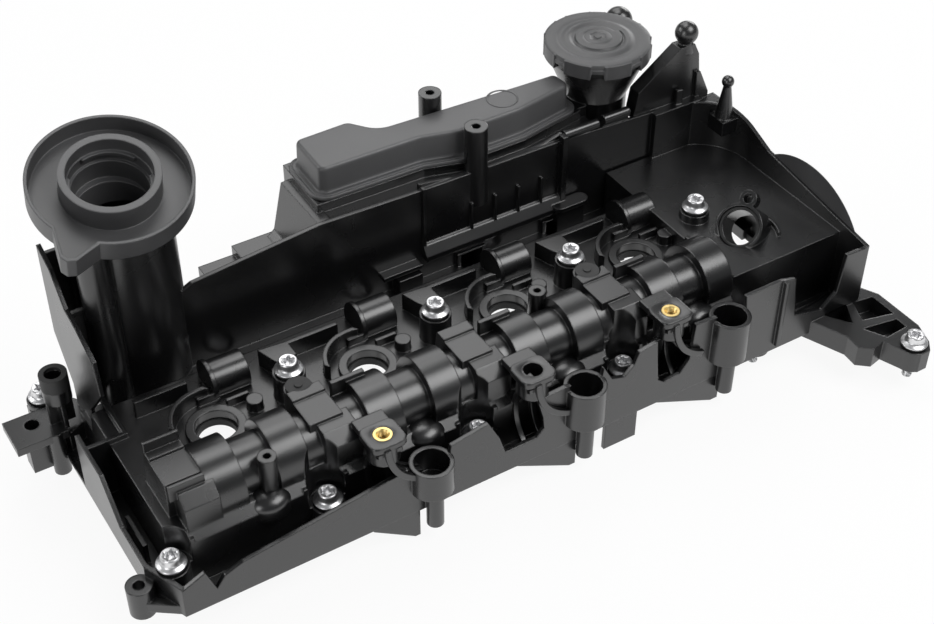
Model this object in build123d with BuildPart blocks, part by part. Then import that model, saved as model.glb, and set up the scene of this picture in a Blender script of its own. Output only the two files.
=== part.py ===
from build123d import *
import math
import os

# Engine valve cover of a four-cylinder engine, in millimetres.
# X runs along the crankshaft towards the timing end, Y towards the oil separator, Z up.
# The origin is the centre of the first injector well, in the plane of its mouth.

# Cylinder spacing
bore_pitch = 91.0
cylinders = 4

# General wall
wall = 2.5

# Heights of the main levels
gasket_z = -45.0
flange_t = 8.0
foot_z = -60.0
shelf_z = -40.0
shelf_t = 2.5
gutter_z = -20.0
floor_z = -3.0
ledge_z = -8.0
platform_z = 8.0

# Plan of the tray
front_y = -76.0
ledge_y = -61.0
skirt_front_y = -52.0
gutter_y = 46.0
skirt_back_y = 66.0
back_y = 71.0
left_x = -66.0
cam_left_x = -52.0
platform_x = 300.0
platform_front_y = -54.0
right_x = 386.0
rear_corner_r = 38.0

# Perimeter gasket and the flange that carries it
gasket_w = 2.9
gasket_h = 5.0
groove_w = 3.5
groove_d = 4.0
flange_w = 10.0
gasket_front_y = -53.0
gasket_back_y = 70.0
gasket_left_x = -55.0
gasket_right_x = 382.0
gasket_corner_r = 14.0

# Injector wells
injector_bore_r = 11.5
well_collar_w = 4.7
well_depth = 10.0
seal_w = 3.6
seal_h = 4.0
seal_gap = 0.3

# Cam humps of the front camshaft and small humps of the rear one
cam_y = -35.0
cam_z = 1.0
hump_r = 21.4
waist_r = 16.0
hump_lobes = ((-27.0, 19.0), (10.0, 17.6))
bridge_x = 43.0
bridge_w = 19.0
bridge_top_z = 19.5
bar_h = 1.5
nose_shift = 4.0
rear_hump_y = 32.0
rear_hump_z = 2.0
rear_hump_r = 10.5
rear_hump_x = 20.0
rear_hump_w = 22.0
rear_ring_r = 12.0
ridge_x0 = 58.0
ridge_x1 = 88.5
ridge_y = 31.0
ridge_z = 8.0
well_rib_r = 22.0
plate_start_x = 55.5
plate_w = 19.5
plate_y = -26.2
plate_top_z = 23.5

# Captive flange screws, their sleeves and grommets
thread_r = 3.0
thread_play = 0.3
shank_r = 2.6
screw_reach = 10.0
flange_r = 7.9
washer_h = 1.4
flare_h = 1.2
head_r = 5.2
head_h = 5.2
socket_r = 2.9
socket_d = 3.0
sleeve_r = 4.5
sleeve_bore_r = 3.4
sleeve_gap = 0.3
grommet_r = 6.9
grommet_h = 4.0
grommet_rise = 1.5
tower_r = 9.0
alcove_r = 10.5

# Places of the screws: x, y and the height of the boss they sit on
centre_row = [(45.6 + bore_pitch * k, 4.0, 13.5) for k in range(cylinders)]
front_row = [
    (-53.5, -58.4, -20.0),
    (32.4, -61.5, -20.0),
    (32.4 + bore_pitch, -61.9, -20.0),
    (38.2 + 2 * bore_pitch, -60.8, -20.0),
]
rear_row = [(37.0 + bore_pitch * k, 58.5, -30.0) for k in range(cylinders - 1)]
rear_pit_r = 9.6
lug_screw = (386.5, -123.0, -31.0)
well_screw = (316.5, -65.0, -30.0)
bracket_screw = (-65.0, 91.0, -21.0)

# Half-round pockets in the front wall: centre x and rim height
pockets = ((86.0, -7.0), (183.0, 0.0), (282.5, 4.0))
pocket_r = 12.0
pocket_foot_z = -25.0
peg_r = 4.8
peg_foot_z = -50.0

# Front bosses for the engine trim: the middle one is an empty socket
insert_first_x = 61.8
insert_y = -69.0
insert_top_z = 20.0
insert_r = 5.3
insert_h = 12.0
insert_bore_r = 2.5
insert_boss_r = 8.8
boss_h = 15.0
leg_r = 26.0

# Oil separator behind the back wall
lid_top_z = 65.0
weld_z = 46.0
weld_t = 2.5
weld_flange = 5.5
chamber_foot_z = -12.0
chamber_wall = 2.5
baffle_t = 2.0
baffle_gap = 0.4
nozzle_r = 1.6
standoffs = ((202.0, 118.0, -12.0), (206.5, 73.5, 20.0))
standoff_r = 7.0
standoff_bore_r = 2.6
standoff_top_z = 73.0
standoff_depth = 16.0
drain_x = 200.0
drain_y = 92.0
drain_hole_r = 2.5
drain_cap_r = 6.0

# Crankcase pressure valve
valve_x = 316.0
valve_y = 107.0
cap_r = 33.7
cap_top_z = 80.0
cap_h = 10.0
cap_gap = 0.3
cup_r = 31.0
cup_foot_r = 20.0
cup_foot_z = 44.0
cup_rim_z = 76.0
cup_floor_z = 46.5
bead_h = 1.5
seat_r = 9.5
seat_bore_r = 7.0
seat_top_z = 65.0
plate_r = 14.0
plate_z = 69.5
plate_t = 2.0
hub_r = 5.0
hub_gap = 0.05
diaphragm_t = 1.0
spring_r = 12.0
spring_wire_r = 0.7
spring_turns = 5
outlet_r = 9.0
outlet_bore_r = 6.5
outlet_z = 60.5
outlet_reach = 43.5
outlet_angle = 36.0
outlet_dome_z = 69.0
outlet_foot_z = 36.0
spigot_top_z = 50.0
outlet_spigot_r = 8.0

# Duct panel on the back wall
duct_left_x = 167.0
duct_right_x = 267.5

# Oil filler neck and its tilted drip dish
neck_x = -7.0
neck_y = 88.0
neck_r = 29.0
neck_wall = 3.0
spigot_gap = 0.3
spigot_z = 78.0
dish_x = -7.0
dish_y = 87.0
dish_z = 109.0
dish_r = 43.3
dish_wall = 1.8
dish_depth = 10.0
dish_floor = 2.5
throat_reach = 13.0
dish_tilt = 16.0
collar_r = 26.5
collar_bore_r = 22.5
collar_rise = 4.0
ramp_w = 2.2
bayonet_r = 21.9
ramp_drop = 8.0
ramp_h = 2.5
ramp_undercut = 4.0
ramp_entry_w = 14.0

# Ball studs and the rubber bush for the engine trim
stud_x = 361.0
stud_y = 77.0
stud_z = 85.0
stud_ball_r = 7.3
fin_t = 9.0
small_stud_x = 376.0
small_stud_y = 51.0
small_stud_z = 59.0
small_ball_r = 3.9
bush_x = -62.0
bush_y = 68.0
bush_top_z = 14.0
bush_r = 7.7
bush_bore_r = 4.7
bush_h = 9.0
bush_lip = 2.0
spigot_r = 5.9
bush_gap = 0.05

# Rubber plugs in the tray floor
plug_places = ((43.0, -12.6, 16.0), (225.0, -16.0, 18.0))
plug_rim = 1.0
plug_r = 7.0
plug_stem_r = 4.7
plug_depth = 6.0
plug_gap = 0.3
plug_head_h = 2.0

# Small posts with a hole for cable guides: x, y and foot height
peg_posts = ((5.4, -52.0, ledge_z), (191.0, -16.0, floor_z))
peg_post_top_z = 20.0
peg_post_r = 5.0
peg_post_bore_r = 2.0
peg_post_depth = 12.0

# Sensor port on the platform
port_x = 328.5
port_y = -25.0
port_z = 15.0
port_axis = (-0.70, -0.30, 0.65)
port_bore_r = 10.5
port_collar_r = 14.4
port_mouth_r = 12.5
port_mouth_d = 3.0
guard_r = 24.0
port_length = 22.0
eyelet_reach = 17.5
eyelet_r = 5.4
eyelet_bore_r = 2.8
eyelet_depth = 8.0
eyelet_turn = -70.0


def block(x0, x1, y0, y1, z0, z1, mode=Mode.ADD):
    """A box between two corners."""
    with Locations(((x0 + x1) / 2, (y0 + y1) / 2, (z0 + z1) / 2)):
        Box(x1 - x0, y1 - y0, z1 - z0, mode=mode)


def post(x, y, z0, z1, r, mode=Mode.ADD):
    """An upright cylinder between two heights."""
    with Locations((x, y, (z0 + z1) / 2)):
        Cylinder(r, z1 - z0, mode=mode)


def section_run(points, x0, x1, mode=Mode.ADD):
    """A YZ outline carried along X."""
    with BuildSketch(Plane.YZ.offset(x0)) as section:
        with BuildLine():
            Polyline(*points, close=True)
        make_face()
    extrude(section.sketch, amount=x1 - x0, mode=mode)


def front_sheet(points, y, thickness, mode=Mode.ADD):
    """An XZ outline that starts at the plane y and reaches back by its thickness."""
    with BuildSketch(Plane.XZ.offset(-y)) as face_view:
        with BuildLine():
            Polyline(*points, close=True)
        make_face()
    extrude(face_view.sketch, amount=-thickness, mode=mode)


def plan_plate(points, z0, z1, mode=Mode.ADD, grow=0.0):
    """An XY outline between two heights, grown outwards if asked."""
    with BuildSketch(Plane.XY.offset(z0)) as plan:
        with BuildLine():
            Polyline(*points, close=True)
        make_face()
        if grow:
            offset(amount=grow, kind=Kind.INTERSECTION, mode=Mode.REPLACE)
    extrude(plan.sketch, amount=z1 - z0, mode=mode)


def lying_cylinder(x0, x1, y, z, r, mode=Mode.ADD):
    """A cylinder along X."""
    with Locations(Location(((x0 + x1) / 2, y, z), (0, 90, 0))):
        Cylinder(r, x1 - x0, mode=mode)


def gasket_band(width, z0, z1, mode=Mode.ADD):
    """A closed band of one width on the gasket line, between two heights."""
    half_x = (gasket_right_x - gasket_left_x) / 2
    half_y = (gasket_back_y - gasket_front_y) / 2
    centre = (gasket_left_x + half_x, gasket_front_y + half_y)
    with BuildSketch(Plane.XY.offset(z0)) as band:
        with Locations(centre):
            RectangleRounded(2 * half_x + width, 2 * half_y + width, gasket_corner_r + width / 2)
            RectangleRounded(
                2 * half_x - width,
                2 * half_y - width,
                gasket_corner_r - width / 2,
                mode=Mode.SUBTRACT,
            )
    extrude(band.sketch, amount=z1 - z0, mode=mode)


def frustum(x, y, z0, r0, z1, r1, mode=Mode.ADD):
    """An upright cone between two heights."""
    with Locations((x, y, (z0 + z1) / 2)):
        Cone(r0, r1, z1 - z0, mode=mode)


screw_places = (
    [("front_screw_%d" % (k + 1), place) for k, place in enumerate(front_row)]
    + [("centre_screw_%d" % (k + 1), place) for k, place in enumerate(centre_row)]
    + [("rear_screw_%d" % (k + 1), place) for k, place in enumerate(rear_row)]
    + [("lug_screw", lug_screw), ("well_screw", well_screw), ("bracket_screw", bracket_screw)]
)
grommet_bore_r = grommet_r + sleeve_gap

# Outer section of the cam box, and the hollow inside it
box_section = [
    (skirt_front_y, gasket_z),
    (skirt_front_y, shelf_z),
    (ledge_y, shelf_z),
    (ledge_y, ledge_z),
    (ledge_y + 5, floor_z),
    (gutter_y, floor_z),
    (gutter_y + 4, gutter_z),
    (skirt_back_y + wall, gutter_z),
    (skirt_back_y + wall, gasket_z),
]
hollow_section = [
    (skirt_front_y + wall, gasket_z - 1),
    (skirt_front_y + wall, shelf_z + shelf_t),
    (ledge_y + wall, shelf_z + shelf_t),
    (ledge_y + wall, ledge_z - wall),
    (ledge_y + 6, floor_z - wall),
    (gutter_y - wall, floor_z - wall),
    (gutter_y + 4 - wall, gutter_z - wall),
    (skirt_back_y, gutter_z - wall),
    (skirt_back_y, gasket_z - 1),
]

# Section of the bridges between the cylinders, and its hollow
bridge_section = [
    (-14, floor_z - 1),
    (-17, bridge_top_z),
    (-18, bridge_top_z + bar_h),
    (-25, bridge_top_z + bar_h),
    (-25.5, bridge_top_z),
    (-44, bridge_top_z),
    (-44, ledge_z + 1),
]
bridge_hollow = [
    (-16.5, floor_z - 4),
    (-19.5, bridge_top_z - wall),
    (-41.5, bridge_top_z - wall),
    (-41.5, floor_z - 4),
]
bridge_nose = [
    (-40, bridge_top_z - 1.5),
    (-50.5, bridge_top_z - 2.5),
    (-57, bridge_top_z - 9),
    (-57, ledge_z + 1),
    (-40, ledge_z + 1),
]

# Raised pad behind each screw of the centre row, seen from above
screw_pad = [(41, 33.5), (58, 32), (58, 20), (48, 15), (44.4, 22.4)]

# Timing-end arm seen from above
arm_outline = [
    (345, -66),
    (358, -98),
    (357, -108),
    (364, -114),
    (373, -112),
    (379, -128),
    (384, -132),
    (391, -132),
    (396, -126),
    (401, -112),
    (401, -78),
    (right_x + 6, -60),
]
arm_cavities = [
    [(357, -72), (378, -74), (369, -90)],
    [(382, -76), (396, -78), (396, -96), (376, -91)],
    [(371, -97), (394, -101), (394, -109), (378, -110)],
]

# Front wall seen from the front, from its left end round its notches
front_wall_outline = [
    (-56, shelf_z),
    (-56, -21),
    (-43, -15),
    (-38, -30),
    (-33, -23),
    (-23, -19),
    (72, -6),
    (75, -10),
    (97, -7),
    (98, -2),
    (121, 2),
    (128, -12),
    (132, -25),
    (152, -25),
    (157, -20),
    (156, -11),
    (152, 3),
    (170, 4),
    (194, 0),
    (195, 6),
    (201, -5),
    (210, -8),
    (216, -2),
    (219, 6),
    (231, 8),
    (234, -22),
    (239, -26),
    (250, -25),
    (256, -17),
    (258, 8),
    (270, 7),
    (294, 4),
    (293, 13),
    (319, 13),
    (330, 10),
    (334, -19),
    (356, -25),
    (366, -16),
    (369, 11),
    (right_x - 1, 10),
    (right_x - 1, shelf_z),
]

# Stiffening plates that hang under the front wall and the rear flange
hanging_plates = [
    [(51, shelf_z + 1), (79, shelf_z + 1), (79, foot_z), (76, foot_z), (51, -42)],
    [(140, shelf_z + 1), (180, shelf_z + 1), (180, foot_z), (176, foot_z), (140, -41)],
    [(200, shelf_z + 1), (222, shelf_z + 1), (222, foot_z), (200, foot_z)],
    [(235, shelf_z + 1), (282, shelf_z + 1), (282, foot_z), (277, foot_z), (235, -41)],
]
rear_plate_places = ((20.0, 44.0), (150.0, 174.0), (300.0, 324.0))
rear_plate_y = gasket_back_y + flange_w / 2 - wall

# Top edges of the back wall and of the right wall
back_wall_top = [
    (-26, 14),
    (-14, 20),
    (22, 38),
    (102, 46),
    (172, 44),
    (268, 43.5),
    (338, 40),
    (352, 40),
    (352, 70),
    (-26, 70),
]
right_wall_top = [
    (front_y - 1, 70),
    (front_y - 1, 11),
    (16, 25),
    (35, 33),
    (50, 39),
    (80, 40),
    (80, 70),
]

# Separator lid seen from above
lid_outline = [
    (114, 92),
    (179, 91),
    (202, 84.5),
    (245, 85),
    (286, 92.5),
    (284.5, 107.4),
    (260, 108),
    (163, 112),
    (151, 128),
    (115, 127),
]

# Side plate of the neck seen from the left
side_plate = [
    (98, 75),
    (100, 14),
    (82, -11),
    (82, shelf_z),
    (57, shelf_z),
    (57, -11),
    (31, 20),
    (34, 41),
    (54, 49),
    (68, 52),
    (82, 69),
]

port_plane = Plane(origin=(port_x, port_y, port_z), x_dir=(0, 1, 0), z_dir=port_axis)
eyelet_place = (
    eyelet_reach * math.cos(math.radians(eyelet_turn)),
    eyelet_reach * math.sin(math.radians(eyelet_turn)),
    0,
)

# Fin under the large ball stud, seen from the front
stanchion = [(321, 38), (324, 56), (354, 78), (365, 78), (369, 70), (373, 38)]

# Slanted left end of the separator shell, seen from the front
shell_end = [(112, 41), (104, 40), (97, 9), (90, 3), (112, 3)]

dish_plane = Plane(
    origin=(dish_x, dish_y, dish_z),
    x_dir=(1, 0, 0),
    z_dir=(0, -math.sin(math.radians(dish_tilt)), math.cos(math.radians(dish_tilt))),
)

with BuildPart() as tray:
    # Cam box and timing-end platform, solid first
    section_run(box_section, cam_left_x, platform_x)
    block(platform_x, right_x - 1, platform_front_y, skirt_back_y + wall, shelf_z, platform_z)

    # Front camshaft humps, bridges between the cylinders, and rear humps
    lying_cylinder(hump_lobes[0][0], platform_x + 2, cam_y, cam_z, waist_r)
    for k in range(cylinders):
        base_x = bore_pitch * k
        for start, width in hump_lobes:
            lying_cylinder(base_x + start, base_x + start + width, cam_y, cam_z, hump_r)
        hump_start = base_x + rear_hump_x - rear_hump_w / 2
        lying_cylinder(hump_start, hump_start + rear_hump_w, rear_hump_y, rear_hump_z, rear_hump_r)
        lying_cylinder(hump_start, hump_start + wall, rear_hump_y, rear_hump_z, rear_ring_r)
    bridge_places = [bridge_x + bore_pitch * k for k in range(cylinders - 1)] + [-36.5]
    for centre in bridge_places:
        section_run(bridge_section, centre - bridge_w / 2, centre + bridge_w / 2)
        nose_x = centre + nose_shift
        section_run(bridge_nose, nose_x - bridge_w / 2, nose_x + bridge_w / 2)

    # Hollow out the underside
    section_run(hollow_section, cam_left_x + wall, platform_x - wall, mode=Mode.SUBTRACT)
    block(
        platform_x - wall - 1,
        platform_x + wall,
        skirt_front_y + wall,
        gutter_y - wall,
        gasket_z - 1,
        gutter_z,
        mode=Mode.SUBTRACT,
    )
    block(
        platform_x + wall,
        right_x - wall,
        platform_front_y + wall,
        skirt_back_y,
        gasket_z - 1,
        platform_z - wall,
        mode=Mode.SUBTRACT,
    )
    lying_cylinder(
        hump_lobes[0][0] + wall, platform_x - wall, cam_y, cam_z, waist_r - wall, mode=Mode.SUBTRACT
    )
    for k in range(cylinders):
        for start, width in hump_lobes:
            lying_cylinder(
                bore_pitch * k + start + wall,
                bore_pitch * k + start + width - wall,
                cam_y,
                cam_z,
                hump_r - wall,
                mode=Mode.SUBTRACT,
            )
    for centre in bridge_places:
        section_run(
            bridge_hollow,
            centre - bridge_w / 2 + wall,
            centre + bridge_w / 2 - wall,
            mode=Mode.SUBTRACT,
        )

    # Alcoves round the front screws
    for x, y, z in front_row:
        with BuildSketch(Plane.XY.offset(shelf_z)) as alcove:
            with Locations((x, y)):
                Circle(alcove_r + wall)
            with Locations((cam_left_x, ledge_y)):
                Rectangle(1000, 1000, align=(Align.MIN, Align.MIN), mode=Mode.INTERSECT)
        extrude(alcove.sketch, amount=floor_z - wall - shelf_z)
        post(x, y, z, hump_r, alcove_r, Mode.SUBTRACT)

    # Pits in the gutter round the rear screws
    for x, y, z in rear_row:
        post(x, y, z - wall, gutter_z - 1, rear_pit_r + wall)

with BuildPart() as outer_walls:
    # Gasket flange and the shelf that carries the outer walls
    gasket_band(flange_w, gasket_z, gasket_z + flange_t)
    plan_plate(
        [
            (-56, front_y),
            (right_x, front_y),
            (right_x, platform_front_y + 1),
            (platform_x - 5, platform_front_y + 1),
            (platform_x - 5, skirt_front_y + 1),
            (cam_left_x + 1, skirt_front_y + 1),
            (cam_left_x + 1, skirt_back_y + wall),
            (left_x, skirt_back_y + wall),
            (left_x, -52),
        ],
        shelf_z,
        shelf_z + shelf_t,
    )
    block(left_x, right_x - rear_corner_r, skirt_back_y, back_y + wall / 2, shelf_z, gasket_z + flange_t)
    block(-25, right_x - rear_corner_r, skirt_back_y, back_y + wall / 2, gutter_z - wall, gutter_z)

    # Front wall with its notches, and the left wall
    front_sheet(front_wall_outline, front_y, wall)
    section_run(
        [(-52, shelf_z), (-52, -20), (-22, -20), (-2, 0), (32, 0), (32, shelf_z)],
        left_x,
        left_x + wall,
    )
    plan_plate(
        [(left_x, -52), (left_x + wall, -51), (-54, front_y + wall), (-56, front_y)],
        shelf_z,
        gutter_z,
    )
    block(left_x + 1, cam_left_x + wall, 19, 19 + wall, shelf_z, 0)
    block(cam_left_x, cam_left_x + 8, 19, 19 + wall, floor_z - 1, 0)
    block(cam_left_x + 8, cam_left_x + 8 + wall, 19, skirt_back_y, floor_z - 1, 0)
    block(-60, -57.5, -36, -12, shelf_z, -24)

    # Back and right walls as one bent sheet, trimmed to their top edges
    with BuildSketch(Plane.XY.offset(shelf_z)) as bent_plan:
        with BuildLine():
            FilletPolyline(
                (-20, back_y),
                (right_x - wall / 2, back_y),
                (right_x - wall / 2, front_y),
                radius=rear_corner_r,
            )
        trace(line_width=wall)
    extrude(bent_plan.sketch, amount=50 - shelf_z)
    section_run(right_wall_top, right_x - 30, right_x + 1, mode=Mode.SUBTRACT)
    front_sheet(back_wall_top, back_y - wall, 2 * wall, mode=Mode.SUBTRACT)

    # Duct panel on the back wall, with its fins and ledge
    front_sheet(
        [
            (duct_left_x, -7),
            (duct_left_x, 47),
            (189, 44),
            (213, 42),
            (255, 44),
            (duct_right_x, 47),
            (duct_right_x, -7),
        ],
        back_y + wall / 2,
        wall,
    )
    section_run(
        [(back_y, -5), (back_y - 7, -5), (back_y - 7, -1.5), (back_y - 3, 4.5), (back_y, 6)],
        duct_left_x,
        duct_right_x,
    )
    for k in range(4):
        x = duct_left_x + 33 + 16.6 * k
        block(x, x + 1.6, back_y - 3.2, back_y, 3, 23)
    block(duct_left_x, duct_left_x + 2, back_y - 3, back_y, -2, 46)
    block(duct_right_x - 3.5, duct_right_x, back_y - 5, back_y, -2, 48)

    # Rounded shelf at the right end of the duct panel, and the tab at its left
    with BuildSketch(Plane.XY.offset(-2)) as shelf:
        with Locations((duct_right_x + 2, 64)):
            SlotOverall(25, 10)
    extrude(shelf.sketch, amount=3)
    block(duct_right_x - 8, duct_right_x + 12, 62, back_y, gutter_z - 1, -1)
    block(137, 163, 63, back_y, -7, -4)
    block(146, 162, 61, back_y, gutter_z - 1, -9)

    # Outer bulge of the right wall
    post(right_x - 2, -15, shelf_z, 0, 30)
    post(right_x - 2, -15, shelf_z - 1, -wall, 30 - wall, Mode.SUBTRACT)
    block(right_x - 40, right_x - wall, -50, 20, gasket_z - 1, platform_z - wall, Mode.SUBTRACT)
    block(platform_x + 5, right_x - wall / 2, -50, 20, platform_z - wall, platform_z)
    block(right_x - wall, right_x, -60, 30, shelf_z, platform_z)

    # Half-round pockets and their pegs
    for x, rim in pockets:
        post(x, front_y, pocket_foot_z, rim, pocket_r)
        post(x, front_y - 3, peg_foot_z, pocket_foot_z + 1, peg_r)
        post(x, front_y, pocket_foot_z + wall, rim + 20, pocket_r - wall, Mode.SUBTRACT)

    # Plates under the front wall and the rear flange
    for outline in hanging_plates:
        front_sheet(outline, front_y + 1, wall)
    for x0, x1 in rear_plate_places:
        block(x0, x1, rear_plate_y, rear_plate_y + wall, foot_z, shelf_z + 1)

    # Timing-end arm with its cavities
    plan_plate(arm_outline, gasket_z, -31)
    for outline in arm_cavities:
        plan_plate(outline, gasket_z + 3, -30, mode=Mode.SUBTRACT)

    # Corner boss and rear bracket of the left end
    post(-71, -56, gasket_z, -26.5, 7)
    plan_plate([(-71, -63), (-71, -49), (left_x + 1, -45), (-56, front_y + 2)], shelf_z, shelf_z + 6)
    block(-91.5, -62, 58, 82, -25, gutter_z)
    block(-83.5, -72.5, 67, 78, peg_foot_z, gutter_z)
    post(-69, 62, peg_foot_z, gutter_z, peg_r)
    plan_plate([(-74, 78), (-74, 94), (-58, 98), (-40, 72), (-62, 60)], shelf_z, gutter_z - 5)
    block(bush_x - 7, bush_x + 7, bush_y - 1.25, bush_y + 1.25, gutter_z - 1, bush_top_z - 12)
    block(bush_x - 1.25, bush_x + 1.25, bush_y - 7, bush_y + 7, gutter_z - 1, bush_top_z - 12)
    post(bush_x, bush_y, bush_top_z - 18, bush_top_z - bush_h, bush_r)
    post(bush_x, bush_y, bush_top_z - bush_h, bush_top_z - bush_lip, spigot_r)

with BuildPart() as separator_shell:
    # Lower shell of the oil separator
    plan_plate(lid_outline, chamber_foot_z, weld_z, grow=weld_flange)
    block(110, 296, back_y, 90, chamber_foot_z, 40)
    block(70, 112, back_y, 128, chamber_foot_z, 5)
    block(47, 72, back_y, 126, chamber_foot_z, 0)
    front_sheet(shell_end, back_y + 4, 50)
    block(72, 110, back_y, 125, chamber_foot_z - 1, 5 - wall, Mode.SUBTRACT)
    block(49.5, 70, back_y + wall, 123.5, chamber_foot_z - 1, -wall, Mode.SUBTRACT)
    block(112, 294, back_y + wall, 84, chamber_foot_z - 1, 37.5, Mode.SUBTRACT)
    plan_plate(
        lid_outline,
        chamber_foot_z + chamber_wall,
        weld_z - 4,
        mode=Mode.SUBTRACT,
        grow=weld_flange - 2 * chamber_wall,
    )
    plan_plate(
        lid_outline,
        weld_z - 4,
        weld_z + 1,
        mode=Mode.SUBTRACT,
        grow=weld_flange - chamber_wall,
    )

    # Neck between the lower shell and the valve column
    block(290, 300, 93, 109, 20, cup_foot_z)

    # Drain duct and breather duct down to the flange
    for x in (drain_x, drain_x + 62):
        block(x - 10, x + 10, skirt_back_y + 1, drain_y + 10, -36, chamber_foot_z + 1)
    block(drain_x + 54.5, drain_x + 69.5, drain_y - 4, drain_y + 7.5, -20, -8, Mode.SUBTRACT)
    post(drain_x, drain_y, chamber_foot_z - 1, -8, drain_hole_r, Mode.SUBTRACT)
    for angle in (0, 90, 180, 270):
        a = math.radians(angle + 45)
        post(
            drain_x + 4.2 * math.cos(a),
            drain_y + 4.2 * math.sin(a),
            chamber_foot_z - 1,
            -8,
            1.0,
            Mode.SUBTRACT,
        )

    # Valve cup, its column, seat tube and outlet pipe
    post(valve_x, valve_y, chamber_foot_z, cup_foot_z, cup_foot_r)
    frustum(valve_x, valve_y, cup_foot_z, cup_foot_r, cup_rim_z - 6, cup_r)
    post(valve_x, valve_y, cup_rim_z - 6, cup_rim_z, cup_r)
    outlet_turn = math.radians(outlet_angle)
    elbow_x = valve_x + outlet_reach * math.cos(outlet_turn)
    elbow_y = valve_y + outlet_reach * math.sin(outlet_turn)
    outlet_plane = Plane(
        origin=(valve_x, valve_y, outlet_z),
        z_dir=(math.cos(outlet_turn), math.sin(outlet_turn), 0),
    )
    with Locations(outlet_plane):
        Cylinder(outlet_r, outlet_reach, align=(Align.CENTER, Align.CENTER, Align.MIN))
    post(elbow_x, elbow_y, spigot_top_z, outlet_dome_z, outlet_r)
    post(elbow_x, elbow_y, outlet_foot_z, spigot_top_z, outlet_spigot_r)
    with Locations((elbow_x, elbow_y, outlet_dome_z)):
        Sphere(outlet_r)
    frustum(valve_x, valve_y, cup_floor_z, cup_foot_r - wall, cup_rim_z - 6, cup_r - wall, Mode.SUBTRACT)
    post(valve_x, valve_y, cup_rim_z - 6, cup_rim_z + 1, cup_r - wall, Mode.SUBTRACT)
    with Locations(outlet_plane):
        Cylinder(
            outlet_bore_r,
            outlet_reach,
            align=(Align.CENTER, Align.CENTER, Align.MIN),
            mode=Mode.SUBTRACT,
        )
    post(elbow_x, elbow_y, outlet_foot_z - 1, outlet_dome_z, outlet_bore_r, Mode.SUBTRACT)
    post(valve_x, valve_y, cup_floor_z - 1, seat_top_z, seat_r)
    post(valve_x, valve_y, 30, seat_top_z + 1, seat_bore_r, Mode.SUBTRACT)
    lying_cylinder(284, valve_x, 100, 36, 5.5, Mode.SUBTRACT)
    post(valve_x, valve_y, chamber_foot_z - 1, 24, cup_foot_r - wall, Mode.SUBTRACT)

with BuildPart() as neck:
    # Neck tube, cut square to the tilted dish, opening into the tray through its foot
    post(neck_x, neck_y, shelf_z, dish_z + 10, neck_r)
    post(neck_x - 24, neck_y - 24, shelf_z, 86, 9)
    with Locations(dish_plane.offset(-dish_depth - dish_floor)):
        Box(160, 160, 60, align=(Align.CENTER, Align.CENTER, Align.MIN), mode=Mode.SUBTRACT)
    section_run(side_plate, -49, -49 + wall)
    block(-49, -32, 66, 66 + wall, -11, 50)
    block(-49, -34, 95, 95 + wall, 14, 70)

with BuildPart() as studs:
    # Ball studs: the large one on a tall fin with a block at its foot
    front_sheet(stanchion, stud_y - fin_t / 2, fin_t)
    block(334, 371, 66, 90, chamber_foot_z, 40)
    block(336.5, 368.5, 72.5, 87.5, chamber_foot_z - 1, 36, Mode.SUBTRACT)
    frustum(stud_x, stud_y, stud_z - 13, 5.5, stud_z - 4, 4)
    with Locations((stud_x, stud_y, stud_z)):
        Sphere(stud_ball_r)
    block(small_stud_x - 6, right_x, small_stud_y - 7, small_stud_y + 7, 24, 34)
    frustum(small_stud_x, small_stud_y, 33, 6, small_stud_z, 2)
    with Locations((small_stud_x, small_stud_y, small_stud_z)):
        Sphere(small_ball_r)

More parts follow.
